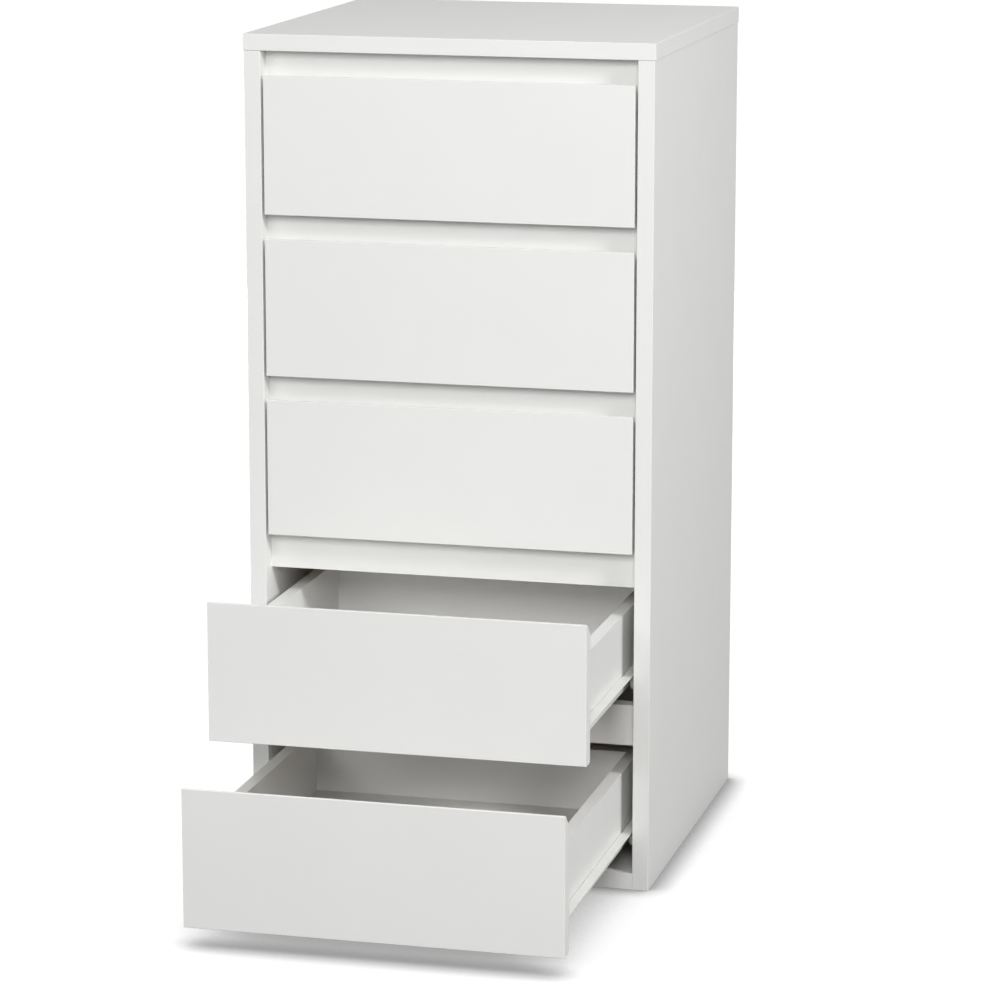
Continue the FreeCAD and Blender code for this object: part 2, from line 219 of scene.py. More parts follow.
# %% [markdown]
# ## White melamine
#
# The carcass and the drawers are particle board under a white melamine film. The film
# is pressed on a plate with a very fine peel, so it shines softly and never evenly, and
# it dulls a little where hands and cloths go over it. A scan of such a film would
# do, but three noises need no picture and never repeat: one a millimetre across makes
# the peel as a bump, and two slow ones change the tint and the roughness. A band of
# edging closes the front of each board, and its glue line is a hair of grey.

# %% Colours and edging of the boards
board_white = (0.83, 0.83, 0.815)
board_shade = (0.822, 0.822, 0.807)
board_roughness = 0.55
roughness_band = (0.52, 0.58)
tint_waves = 14.0
wear_waves = 45.0
peel_waves = 950.0
peel_depth = 0.00002
edge_line = (0.62, 0.61, 0.58)
front_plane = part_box("left_side_panel")[0].y
edging_thickness = 0.0008
glue_band = (0.00005, 0.00012)
glue_share = 0.7
print("front edges of the boards at y", round(front_plane, 4))


# %% The white film
def melamine(name, glue_line):
    """White film on board; the carcass boards show the glue line of their edging."""
    material, tree, shader = new_finish(name, board_white, board_roughness)
    clouds = noise(tree, tint_waves, 4.0)
    tint = blend_colours(tree, stretch(tree, clouds, 0.35, 0.65), board_shade, board_white)
    if glue_line:
        split = add_node(tree, "ShaderNodeSeparateXYZ", [("Vector", place_on(tree))])
        depth = reckon(tree, "SUBTRACT", split.outputs["Y"], front_plane + edging_thickness)
        off = reckon(tree, "ABSOLUTE", depth)
        line = stretch(tree, off, *glue_band, glue_share, 0.0)
        tint = blend_colours(tree, line, tint, edge_line)
    tree.links.new(tint, shader.inputs["Base Color"])
    rough = stretch(tree, noise(tree, wear_waves, 3.0), 0.3, 0.7, *roughness_band)
    tree.links.new(rough, shader.inputs["Roughness"])
    add_bump(tree, shader, noise(tree, peel_waves, 2.0), peel_depth, 0.5)
    return material


# %% Boards in white
carcass_white = melamine("carcass_melamine", True)
drawer_white = melamine("drawer_melamine", False)
drawer_numbers = range(1, 6)
dress(carcass_white, "top_panel", "left_side_panel", "right_side_panel", "bottom_panel")
dress(carcass_white, *["rail_over_drawer_%d" % n for n in drawer_numbers])
board_pieces = ["front", "left_side", "right_side", "back"]
dress(drawer_white, *["drawer_%d_%s" % (n, p) for n in drawer_numbers for p in board_pieces])

# %% [markdown]
# ## Hardboard
#
# The back and the drawer bottoms are thin hardboard: smooth and painted white on the
# face that shows, and bare brown fibre on the other, where the screen of the press has
# left its mesh. The painted face of the back looks forwards and that of a drawer bottom
# looks up. Each face could have its own material slot. A surface's own direction tells
# the faces apart as well, so one material dresses both. The mesh is a Voronoi pattern
# in the plane of the board, nearly regular, with a pit in each of its cells.

# %% Colours and mesh of the hardboard
fibre_dark = (0.27, 0.155, 0.082)
fibre_light = (0.50, 0.335, 0.205)
paint_white = (0.80, 0.80, 0.78)
paint_roughness = 0.48
bare_roughness = 0.85
fibre_waves = 1100.0
patch_waves = 28.0
mesh_holes = 560.0
mesh_disorder = 0.35
mesh_depth = 0.0004
print("mesh of the bare face: a hole every", round(1000 / mesh_holes, 1), "mm")


# %% Hardboard with one painted face
def hardboard(name, painted_axis, painted_sign, second_axis):
    """Board that lies along X and the second axis, painted on one face."""
    material, tree, shader = new_finish(name, paint_white, 0.5)
    direction = add_node(tree, "ShaderNodeTexCoord").outputs["Normal"]
    facing = add_node(tree, "ShaderNodeSeparateXYZ", [("Vector", direction)])
    towards = facing.outputs[painted_axis]
    bare = stretch(tree, towards, 0.45 * painted_sign, 0.55 * painted_sign, 1.0, 0.0)
    fibre = noise(tree, fibre_waves, 5.0)
    fibres = blend_colours(tree, stretch(tree, fibre, 0.35, 0.65), fibre_dark, fibre_light)
    patches = stretch(tree, noise(tree, patch_waves, 3.0), 0.35, 0.7, 0.0, 0.3)
    fibres = blend_colours(tree, patches, fibres, fibre_dark)
    tree.links.new(blend_colours(tree, bare, paint_white, fibres), shader.inputs["Base Color"])
    rough = stretch(tree, bare, 0.0, 1.0, paint_roughness, bare_roughness)
    tree.links.new(rough, shader.inputs["Roughness"])
    point = add_node(tree, "ShaderNodeSeparateXYZ", [("Vector", place_on(tree))])
    in_plane = add_node(
        tree, "ShaderNodeCombineXYZ", [("X", point.outputs["X"]), ("Y", point.outputs[second_axis])]
    )
    mesh = add_node(
        tree, "ShaderNodeTexVoronoi",
        [("Vector", in_plane.outputs[0]), ("Scale", mesh_holes), ("Randomness", mesh_disorder)],
        voronoi_dimensions="2D",
    )
    rise = reckon(tree, "MULTIPLY_ADD", fibre, 0.5, mesh.outputs["Distance"])
    add_bump(tree, shader, reckon(tree, "MULTIPLY", rise, bare), mesh_depth, 0.8)
    return material


# %% Back and drawer bottoms
drawer_bottoms = ["drawer_%d_bottom" % n for n in drawer_numbers]
dress(hardboard("back_hardboard", "Y", -1, "Z"), "back_panel")
dress(hardboard("bottom_hardboard", "Z", 1, "Y"), *drawer_bottoms)

# %% [markdown]
# ## Powder-coated steel, nylon and zinc
#
# The runners are rolled steel under a cream white epoxy powder, which flows out with an
# orange peel coarser than the board's. The rollers are moulded nylon, waxy and slightly
# clouded. Screws, nails and cams are zinc plated: a metal, with a dull bloom in places
# where the plating is thicker. Each could be one flat colour, which looks like plastic
# close by. All three are the same three patterns at their own sizes: one for the tint,
# one for the gloss and one for the bump, so one helper makes them.

# %% A mottled finish
def mottled(name, colour, roughness, tints, gloss, relief, lower_band=0.3, metallic=0.0):
    """tints: waves, detail and two colours; gloss: waves, detail, low and high roughness;
    relief: waves, detail, depth in metres and strength."""
    material, tree, shader = new_finish(name, colour, roughness)
    shader.inputs["Metallic"].default_value = metallic
    clouds = stretch(tree, noise(tree, *tints[:2]), lower_band, 0.7)
    tree.links.new(blend_colours(tree, clouds, *tints[2:]), shader.inputs["Base Color"])
    rough = stretch(tree, noise(tree, *gloss[:2]), 0.3, 0.7, *gloss[2:])
    tree.links.new(rough, shader.inputs["Roughness"])
    add_bump(tree, shader, noise(tree, *relief[:2]), *relief[2:])
    print(name, "with a relief every", round(1000 / relief[0], 2), "mm")
    return material


# %% Powder coat, nylon and zinc
powder = mottled(
    "runner_powder_coat", (0.80, 0.81, 0.78), 0.34,
    tints=(30.0, 3.0, (0.78, 0.79, 0.76), (0.83, 0.84, 0.81)),
    gloss=(80.0, 2.0, 0.28, 0.42),
    relief=(620.0, 2.0, 0.00005, 0.6),
)
nylon = mottled(
    "roller_nylon", (0.64, 0.65, 0.63), 0.4,
    tints=(160.0, 3.0, (0.58, 0.59, 0.57), (0.68, 0.69, 0.67)),
    gloss=(400.0, 3.0, 0.34, 0.5),
    relief=(1500.0, 2.0, 0.00002, 0.5),
)
zinc = mottled(
    "zinc_plate", (0.66, 0.67, 0.69), 0.32,
    tints=(350.0, 4.0, (0.60, 0.61, 0.63), (0.74, 0.75, 0.76)),
    gloss=(500.0, 3.0, 0.24, 0.46),
    relief=(1400.0, 4.0, 0.00004, 0.5),
    lower_band=0.35,
    metallic=1.0,
)
dress(zinc, "cam_fittings")

# %% [markdown]
# ## Beech
#
# The dowels that keep the boards in line are turned beech, with a straight grain. Wood
# can be built from bent rings, but on a pin of 8 millimetres only the fibre shows, so a
# noise is drawn out along one axis until its spots become streaks.

# %% Beech dowels
beech_dark = (0.46, 0.29, 0.16)
beech_light = (0.62, 0.43, 0.26)
streak = (1.0, 1.0, 0.12)
grain_waves = 900.0
grain_depth = 0.0001

beech, tree, shader = new_finish("dowel_beech", (0.56, 0.38, 0.22), 0.6)
grain = add_node(tree, "ShaderNodeMapping", [("Vector", place_on(tree)), ("Scale", streak)])
fibre = noise(tree, grain_waves, 4.0, grain.outputs["Vector"])
tint = blend_colours(tree, stretch(tree, fibre, 0.3, 0.7), beech_dark, beech_light)
tree.links.new(tint, shader.inputs["Base Color"])
add_bump(tree, shader, fibre, grain_depth, 0.6)
dress(beech, "dowels")

# %% [markdown]
# ## Tools for modelling
#
# The next pieces are modelled as by hand: a primitive is added at its size and place,
# and shaped in edit mode. An operator acts on everything that is selected, and the
# loaded solids are selected to begin with, so each step first selects nothing and then
# picks its faces or edges by where they are or which way they look.

# %% Selecting one piece, and edit mode
def only(piece):
    """Selects one object and nothing else."""
    bpy.ops.object.select_all(action="DESELECT")
    piece.select_set(True)
    bpy.context.view_layer.objects.active = piece


def start_editing(name):
    """Settles a new primitive's place in its mesh and opens it in edit mode."""
    piece = bpy.context.object
    piece.name = name
    only(piece)
    bpy.ops.object.transform_apply(location=True, rotation=True, scale=True)
    bpy.ops.object.mode_set(mode="EDIT")
    return piece


def stop_editing():
    bpy.ops.object.mode_set(mode="OBJECT")


# %% Picking by place or direction
modes = {
    "VERT": (True, False, False),
    "EDGE": (False, True, False),
    "FACE": (False, False, True),
}
tiny = 1e-5
print("places count as equal within", tiny * 1000, "mm")


def pick(piece, kind, test):
    """In edit mode, selects the faces, edges or vertices that pass the test."""
    bpy.context.tool_settings.mesh_select_mode = modes[kind]
    bpy.ops.mesh.select_all(action="DESELECT")
    mesh = bmesh.from_edit_mesh(piece.data)
    mesh.normal_update()
    found = {"VERT": mesh.verts, "EDGE": mesh.edges, "FACE": mesh.faces}[kind]
    count = 0
    for part in found:
        if test(part):
            part.select_set(True)
            count += 1
    mesh.select_flush_mode()
    bmesh.update_edit_mesh(piece.data)
    return count


def middle(edge):
    """The point halfway along an edge."""
    return (edge.verts[0].co + edge.verts[1].co) / 2


def along(edge, axis):
    """True for an edge that runs along an axis: 0, 1 or 2."""
    span = edge.verts[1].co - edge.verts[0].co
    return abs(span[axis]) > 0.999 * span.length


def close(value, target):
    """True for two lengths that differ by less than a hundredth of a millimetre."""
    return abs(value - target) < tiny


# %% Applying modifiers
def finish_modifiers(piece):
    """Applies the piece's modifiers, from the first to the last."""
    only(piece)
    for modifier in list(piece.modifiers):
        bpy.ops.object.modifier_apply(modifier=modifier.name)


# %% [markdown]
# ## Drawer members of the runners
#
# Each drawer hangs on two lengths of rolled steel sheet. A flange goes under the edge of
# the drawer side, a web goes up its face, and a wide flange at the top runs on the
# roller of the carcass. A roll former bends one strip, so the strip is modelled that
# way: a plane for the lower flange, whose edge is extruded up and then outwards. The
# folds are bevelled round, and only then a Solidify modifier gives the sheet its
# thickness, which keeps it even round every bend.

# %% Working in sheet steel
steel = 0.0012
half_steel = steel / 2
fold_radius = 0.0014
fold_steps = 4
cut_edge = 0.00015
print("sheet", steel * 1000, "mm thick, folds", fold_radius * 1000, "mm")


def strip(name, x0, x1, y0, y1, z):
    """A level plane between two x and two y places, open for editing."""
    bpy.ops.mesh.primitive_plane_add(size=1.0, location=((x0 + x1) / 2, (y0 + y1) / 2, z))
    bpy.context.object.scale = (x1 - x0, y1 - y0, 1.0)
    return start_editing(name)


def extrude_edge(piece, test, shift):
    """Draws a fold of sheet out of one edge."""
    pick(piece, "EDGE", test)
    bpy.ops.mesh.extrude_edges_move(TRANSFORM_OT_translate={"value": shift})


def round_folds(piece, test):
    """Bevels the picked edges round, as a roll former leaves them."""
    pick(piece, "EDGE", test)
    bpy.ops.mesh.bevel(
        offset=fold_radius, offset_type="OFFSET", segments=fold_steps, affect="EDGES"
    )


# %% Giving sheet its thickness
def thicken(piece):
    """Gives sheet its thickness, half to each side, and breaks its cut edges."""
    stop_editing()
    sheet = piece.modifiers.new("sheet", "SOLIDIFY")
    sheet.thickness = steel
    sheet.offset = 0.0
    sheet.use_even_offset = True
    edges = piece.modifiers.new("cut_edges", "BEVEL")
    edges.width = cut_edge
    edges.segments = 1
    edges.limit_method = "ANGLE"
    edges.angle_limit = math.radians(60)
    finish_modifiers(piece)


# %% Places of the right-hand member of the top drawer
member_low, member_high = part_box("drawer_1_runners")
board_low, board_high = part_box("drawer_1_right_side")
member_front = board_low.y
member_rear = board_high.y
wrap_width = 0.010
web_x = board_high.x + half_steel
wrap_x = board_high.x - wrap_width
flange_x = member_high.x
wrap_z = member_low.z + half_steel
flange_z = member_high.z - half_steel
print("flange from x", round(web_x, 4), "to", round(flange_x, 4), "at z", round(flange_z, 4))

# %% Its sheet, folded and thickened
member = strip("drawer_member", wrap_x, web_x, member_front, member_rear, wrap_z)
extrude_edge(
    member, lambda e: along(e, 1) and close(middle(e).x, web_x), (0.0, 0.0, flange_z - wrap_z)
)
extrude_edge(
    member, lambda e: along(e, 1) and close(middle(e).z, flange_z), (flange_x - web_x, 0.0, 0.0)
)
round_folds(member, lambda e: along(e, 1) and close(middle(e).x, web_x))
thicken(member)
print("drawer member:", len(member.data.polygons), "faces")

# %% [markdown]
# ## Axles
#
# Every roller turns on a steel pin that is riveted into its member, with a flat head
# outside the roller. The head could be a second cylinder that is pushed into the pin.
# Here the pin's end face is extruded once more and scaled up into the head, whose rim
# is bevelled, so that pin and head are one closed mesh.

# %% One axle
axle_radius = 0.0025
head_radius = 0.004
head_thickness = 0.001
head_round = 0.0003
axle_sides = 24


def smooth(piece, degrees=35.0):
    """Shades a piece round, except over its sharp edges."""
    only(piece)
    bpy.ops.object.shade_smooth_by_angle(angle=math.radians(degrees))


def axle(name, x_from, x_to, y, z):
    """A pin along X from the member to the inner face of its head at x_to."""
    way = 1.0 if x_to > x_from else -1.0
    bpy.ops.mesh.primitive_cylinder_add(
        vertices=axle_sides, radius=axle_radius, depth=abs(x_to - x_from),
        location=((x_from + x_to) / 2, y, z), rotation=(0.0, math.pi / 2, 0.0),
    )
    pin = start_editing(name)
    pick(pin, "FACE", lambda f: f.normal.x * way > 0.9)
    bpy.ops.mesh.extrude_region_move(TRANSFORM_OT_translate={"value": (0.0, 0.0, 0.0)})
    grow = head_radius / axle_radius
    bpy.ops.transform.resize(value=(1.0, grow, grow))
    outwards = (way * head_thickness, 0.0, 0.0)
    bpy.ops.mesh.extrude_region_move(TRANSFORM_OT_translate={"value": outwards})
    end = x_to + way * head_thickness
    pick(pin, "EDGE", lambda e: close(middle(e).x, end))
    bpy.ops.mesh.bevel(offset=head_round, segments=2, affect="EDGES")
    stop_editing()
    smooth(pin)
    return pin


# %% Axle of the drawer member
roller_radius = 0.0087
roller_width = 0.0065
roller_side_play = 0.0004
axle_reach = roller_width + 2 * roller_side_play


def wheel_middle(node):
    """The y and z of a roller's axle."""
    low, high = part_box(node)
    return (low.y + high.y) / 2, (low.z + high.z) / 2


rear_axle = wheel_middle("drawer_1_rollers")
member_pin = axle("member_pin", web_x, board_high.x + steel + axle_reach, *rear_axle)


def join(pieces, name):
    """Makes one object of several."""
    only(pieces[0])
    for piece in pieces[1:]:
        piece.select_set(True)
    bpy.ops.object.join()
    joined = bpy.context.object
    joined.name = name
    return joined


member = join([member, member_pin], "drawer_member")
print("drawer member with its axle:", len(member.data.polygons), "faces")

# %% [markdown]
# ## Copies and mirror images
#
# The same member serves every drawer, and its mirror image the other side of it. A
# Mirror modifier would make the second half, and linked copies would share one mesh.
# But each drawer moves by itself, so each gets a mesh of its own, with its place in the
# mesh. A mirrored mesh can come out inside out, so its normals are calculated again.

# %% Copying, mirroring and handing over
def copy_of(piece, name, shift=(0.0, 0.0, 0.0)):
    """A copy with its own mesh, moved in its mesh."""
    only(piece)
    bpy.ops.object.duplicate()
    twin = bpy.context.object
    twin.name = name
    bpy.ops.transform.translate(value=shift)
    bpy.ops.object.transform_apply(location=True, rotation=True, scale=True)
    return twin


def other_side(piece, name):
    """The same piece for the left of the chest, mirrored across its middle."""
    twin = copy_of(piece, name)
    twin.scale = (-1.0, 1.0, 1.0)
    bpy.ops.object.transform_apply(location=True, rotation=True, scale=True)
    bpy.ops.object.mode_set(mode="EDIT")
    bpy.ops.mesh.select_all(action="SELECT")
    bpy.ops.mesh.normals_make_consistent(inside=False)
    stop_editing()
    return twin


def discard(piece):
    """Removes a pattern piece once its copies are made."""
    bpy.data.objects.remove(piece)


def settle(piece, body, finish, slot_name, *replaced):
    """Gives a finished piece its finish and its body, and hides the solids that it stands for."""
    piece.data.materials.clear()
    piece.data.materials.append(finish)
    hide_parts(*replaced)
    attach(piece, body)
    print(piece.name, "faces:", len(piece.data.polygons), "on", body)


# %% The pair for each drawer
for number in drawer_numbers:
    drawer = "drawer_%d" % number
    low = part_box(drawer + "_runners")[0]
    shift = (0.0, low.y - member_low.y, low.z - member_low.z)
    right = copy_of(member, "right_member", shift)
    left = other_side(right, "left_member")
    pair = join([right, left], drawer + "_rolled_members")
    smooth(pair)
    settle(pair, drawer, powder, "white_runner_steel", drawer + "_runners")
discard(member)

# %% [markdown]
# ## Carcass members of the runners
#
# The carcass carries the other half: a channel screwed to each side panel. It is a web
# with a flange along each edge, open at the front where its roller sits, with a folded
# end stop behind and a bump that catches the drawer's roller. It could be one plane that
# is folded and then cut open. Here the web starts as an upright plane, a bisect marks
# where the flanges begin, and only the edges behind that mark are drawn inwards, so
# nothing has to be cut away.

# %% Sizes of the right-hand channel of the top drawer
track_low, track_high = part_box("right_carcass_runners")
panel_x = track_high.x
channel_x = panel_x - half_steel
channel_edge_x = track_low.x
channel_front = track_low.y
channel_rear = track_high.y
roller_window = 0.024
channel_height = 0.0204
channel_top = track_high.z
channel_bottom = channel_top - channel_height
print("channel from", round(channel_bottom, 4), "to", round(channel_top, 4))


# %% The channel
def upright_strip(name, x, y0, y1, z0, z1):
    """An upright plane that faces along X, open for editing."""
    bpy.ops.mesh.primitive_plane_add(
        size=1.0, location=(x, (y0 + y1) / 2, (z0 + z1) / 2), rotation=(0.0, math.pi / 2, 0.0)
    )
    bpy.context.object.scale = (z1 - z0, y1 - y0, 1.0)
    return start_editing(name)


low_z = channel_bottom + half_steel
high_z = channel_top - half_steel
flange_start = channel_front + roller_window
channel = upright_strip("carcass_member", channel_x, channel_front, channel_rear, low_z, high_z)
bpy.ops.mesh.select_all(action="SELECT")
bpy.ops.mesh.bisect(plane_co=(0.0, flange_start, 0.0), plane_no=(0.0, 1.0, 0.0))
for height in (low_z, high_z):
    extrude_edge(
        channel,
        lambda e: along(e, 1) and close(middle(e).z, height) and middle(e).y > flange_start,
        (channel_edge_x - channel_x, 0.0, 0.0),
    )
round_folds(
    channel,
    lambda e: along(e, 1) and close(middle(e).x, channel_x) and middle(e).y > flange_start
    and any(close(middle(e).z, height) for height in (low_z, high_z)),
)
thicken(channel)
print("channel:", len(channel.data.polygons), "faces")

# %% Axle of the channel
front_axle = wheel_middle("carcass_rollers_1")
channel_pin = axle("channel_pin", channel_x, panel_x - steel - axle_reach, *front_axle)
print("front axle at y and z", [round(v, 4) for v in front_axle])

# %% End stop, folded up behind
flange_width = channel_x - channel_edge_x
flange_middle = (channel_edge_x + channel_x) / 2
stop_middle = channel_bottom + channel_height / 4
bpy.ops.mesh.primitive_plane_add(
    size=1.0,
    location=(flange_middle, channel_rear - half_steel, stop_middle),
    rotation=(math.pi / 2, 0.0, 0.0),
)
bpy.context.object.scale = (flange_width, channel_height / 2 - steel, 1.0)
end_stop = start_editing("end_stop")
thicken(end_stop)
print("end stop:", len(end_stop.data.polygons), "faces")

# %% Bump, which catches the drawer's roller
bump_length = 0.002
bump_height = 0.003
bump_round = 0.0008
bump_from_front = 0.0534
bump_y = channel_front + bump_from_front
bump_bottom = channel_bottom + steel
bump_top = bump_bottom + bump_height
bpy.ops.mesh.primitive_cube_add(
    size=1.0, location=(flange_middle, bump_y, (bump_bottom + bump_top) / 2)
)
bpy.context.object.scale = (flange_width, bump_length, bump_height)
bump = start_editing("stop_bump")
pick(bump, "EDGE", lambda e: along(e, 0) and close(middle(e).z, bump_top))
bpy.ops.mesh.bevel(offset=bump_round, segments=3, affect="EDGES")
stop_editing()
channel = join([channel, end_stop, bump, channel_pin], "carcass_member")
print("carcass member with its stops:", len(channel.data.polygons), "faces")

# %% The five channels of each side
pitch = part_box("drawer_1_front")[0].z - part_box("drawer_2_front")[0].z
print("one drawer every", round(pitch * 1000, 1), "mm")
right_channels = []
for number in drawer_numbers:
    drop = (0.0, 0.0, -pitch * (number - 1))
    right_channels.append(copy_of(channel, "right_channel", drop))
left_channels = [other_side(piece, "left_channel") for piece in right_channels]
for side, channels in (("right", right_channels), ("left", left_channels)):
    row = join(channels, side + "_rolled_channels")
    smooth(row)
    settle(row, "carcass", powder, "white_runner_steel", side + "_carcass_runners")
discard(channel)

# %% [markdown]
# ## Rollers
#
# The rollers are small moulded wheels: a tread that is slightly rounded at its rims, a
# shallow ring sunk into each face to keep the wall even, and a hub round the pin. A
# wheel could be spun from its section. Here a cylinder is shaped from its two end
# faces: inset and sunk for the ring, inset and raised for the hub, and inset once more
# to the bore, where a bridge between the two faces cuts the hole through.

# %% Sizes of a roller
rim_width = 0.0016
ring_depth = 0.0009
hub_radius = 0.0043
bore_radius = 0.00255
ring_slope = 0.0004
hub_slope = 0.0003
hub_rise = ring_depth * 0.9
tread_round = 0.0008
wheel_sides = 48
print("hub", hub_radius * 2000, "mm wide, tread", roller_radius * 2000, "mm")


# %% Shaping a wheel from its ends
def is_end(face):
    """True for the many-sided face in the middle of either end."""
    return abs(face.normal.x) > 0.9 and len(face.verts) > 8


def on_tread(point):
    """True for a point on the outside of the wheel."""
    return math.hypot(point.y, point.z) > 0.99 * roller_radius


def inset_ends(piece, half, from_radius, to_radius, sink=0.0):
    """Insets both end faces of a wheel to a radius, then sinks or raises what is inside."""
    pick(piece, "FACE", is_end)
    bpy.ops.mesh.inset(thickness=(from_radius - to_radius) * math.cos(math.pi / wheel_sides))
    if sink:
        bpy.ops.transform.resize(value=((half - sink) / half, 1.0, 1.0))


def shape_roller(name):
    """A wheel with a sunk ring and a hub in each end, bored through."""
    half = roller_width / 2
    sunk = half - ring_depth
    rim_radius = roller_radius - rim_width
    bpy.ops.mesh.primitive_cylinder_add(
        vertices=wheel_sides, radius=roller_radius, depth=roller_width,
        location=(0.0, 0.0, 0.0), rotation=(0.0, math.pi / 2, 0.0),
    )
    wheel = start_editing(name)
    inset_ends(wheel, half, roller_radius, rim_radius)
    inset_ends(wheel, half, rim_radius, rim_radius - ring_slope, ring_depth)
    inset_ends(wheel, sunk, rim_radius - ring_slope, hub_radius + hub_slope)
    inset_ends(wheel, sunk, hub_radius + hub_slope, hub_radius, -hub_rise)
    inset_ends(wheel, half, hub_radius, bore_radius)
    pick(wheel, "FACE", is_end)
    bpy.ops.mesh.bridge_edge_loops()
    pick(wheel, "EDGE", lambda e: close(abs(middle(e).x), half) and on_tread(middle(e)))
    bpy.ops.mesh.bevel(offset=tread_round, segments=3, affect="EDGES")
    stop_editing()
    smooth(wheel)
    return wheel


# %% One roller, centred on its axle along X
wheel = shape_roller("roller_pattern")
print("roller:", len(wheel.data.polygons), "faces")
print("size in mm:", [round(v * 1000, 2) for v in wheel.dimensions])

# %% Rollers in their places
def roller_pair(node, name):
    """A roller each side of the chest, where the plain ones of the node are."""
    outer_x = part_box(node)[1].x
    right = copy_of(wheel, "right_roller", (outer_x - roller_width / 2, *wheel_middle(node)))
    left = other_side(right, "left_roller")
    pair = join([right, left], name)
    settle(pair, nodes[node]["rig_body"], nylon, "nylon_roller", node)


for number in drawer_numbers:
    roller_pair("carcass_rollers_%d" % number, "carcass_wheels_%d" % number)
    roller_pair("drawer_%d_rollers" % number, "drawer_%d_wheels" % number)
discard(wheel)

# %% [markdown]
# ## Screws
#
# The carcass members are held by pan-head screws with a cross recess. The head is a
# short cylinder whose outer rim is bevelled round; its inner face is inset to the
# shank and extruded to the screw's length, then drawn to a point. The recess is cut by
# a Boolean with two crossed, tapered bars, which is quicker than drawing it in the
# head's flat top. The thread is inside the board, so the shank is left plain.

# %% Sizes of a screw
screw_head_radius = 0.003
screw_head_height = 0.0012
shank_radius = 0.0017
shank_length = 0.010
recess_length = 0.0032
recess_width = 0.0007
recess_depth = 0.0009
recess_taper = 0.45
head_dome = 0.0007
screw_sides = 24
point_share = 0.2
point_width = 0.15
print("screw head", screw_head_radius * 2000, "mm wide, shank", shank_length * 1000, "mm long")


# %% Shaping a screw, its head's underside at x = 0 and its shank towards +X
def cross_bar(name, turn):
    """One arm of the recess, narrower at its bottom."""
    bpy.ops.mesh.primitive_cube_add(
        size=1.0, location=(-screw_head_height, 0.0, 0.0), rotation=(turn, 0.0, 0.0)
    )
    bpy.context.object.scale = (recess_depth * 2, recess_length, recess_width)
    bar = start_editing(name)
    pick(bar, "FACE", lambda f: f.normal.x > 0.9)
    bpy.ops.transform.resize(value=(1.0, recess_taper, recess_taper))
    stop_editing()
    return bar


def shape_screw(name):
    """A pan head with a cross recess, and a plain shank with a point."""
    bpy.ops.mesh.primitive_cylinder_add(
        vertices=screw_sides, radius=screw_head_radius, depth=screw_head_height,
        location=(-screw_head_height / 2, 0.0, 0.0), rotation=(0.0, math.pi / 2, 0.0),
    )
    made = start_editing(name)
    pick(made, "EDGE", lambda e: close(middle(e).x, -screw_head_height))
    bpy.ops.mesh.bevel(offset=head_dome, segments=4, affect="EDGES")
    pick(made, "FACE", lambda f: f.normal.x > 0.9)
    shoulder = screw_head_radius - shank_radius
    bpy.ops.mesh.inset(thickness=shoulder * math.cos(math.pi / screw_sides))
    for share in (1.0 - point_share, point_share):
        inwards = (shank_length * share, 0.0, 0.0)
        bpy.ops.mesh.extrude_region_move(TRANSFORM_OT_translate={"value": inwards})
    bpy.ops.transform.resize(value=(1.0, point_width, point_width))
    stop_editing()
    for turn in (0.0, math.pi / 2):
        bar = cross_bar("cross_bar", turn)
        cut = made.modifiers.new("recess", "BOOLEAN")
        cut.operation = "DIFFERENCE"
        cut.object = bar
        finish_modifiers(made)
        discard(bar)
    smooth(made, 30.0)
    return made


# %% One screw
screw = shape_screw("screw_pattern")
print("screw:", len(screw.data.polygons), "faces")

# %% Screws of the carcass members
screw_inset = 0.040
screw_x = panel_x - steel
screw_z = channel_bottom + channel_height / 2


def rows(front, rear):
    """The y places of a member's three screws."""
    return front + screw_inset, (front + rear) / 2, rear - screw_inset


placed = []
for number in drawer_numbers:
    z = screw_z - pitch * (number - 1)
    for y in rows(channel_front, channel_rear):
        placed.append(copy_of(screw, "screw", (screw_x, y, z)))
print("screws in the right-hand channels:", len(placed))
right_screws = join(placed, "right_screws")
left_screws = other_side(right_screws, "left_screws")
all_screws = join([right_screws, left_screws], "channel_screws")
smooth(all_screws, 30.0)
settle(all_screws, "carcass", zinc, "zinc_fittings", "runner_screws")

# %% [markdown]
# ## Fixings of the drawers
#
# A drawer's fixings are its cams, the sunk screws and nails of its back, and the screws
# of its runners. The cams have their cross slots already, but the runner screws, which
# are the ones in sight when the drawer is open, are plain discs. The whole set could be
# modelled again. It is quicker to copy it, merge the copy's loose triangles, delete the
# six plain screws by their place, and put the screw above where they were.

# %% The top drawer's fixings without their plain screws
web_face = board_high.x + steel
fixing_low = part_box("drawer_1_fixings")[0]
fixings = copy_of(nodes["drawer_1_fixings"], "drawer_fixings")
fixings.parent = None
for key in list(fixings.keys()):
    if key.startswith("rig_"):
        del fixings[key]
bpy.ops.mesh.customdata_custom_splitnormals_clear()
bpy.ops.object.mode_set(mode="EDIT")
bpy.ops.mesh.select_all(action="SELECT")
bpy.ops.mesh.remove_doubles(threshold=tiny)
outside = pick(fixings, "VERT", lambda v: abs(v.co.x) > web_face + tiny)
bpy.ops.mesh.select_linked()
bpy.ops.mesh.delete(type="VERT")
stop_editing()
print("points found on the plain heads:", outside)

# %% Crossed screws in their places
screw_rise = 0.008
left_heads = []
for y in rows(member_front, member_rear):
    left_heads.append(copy_of(screw, "screw", (-web_face, y, board_low.z + screw_rise)))
left_heads = join(left_heads, "left_heads")
right_heads = other_side(left_heads, "right_heads")
fixings = join([fixings, left_heads, right_heads], "drawer_fixings")
smooth(fixings, 30.0)
print("fixings:", len(fixings.data.polygons), "faces")
discard(screw)

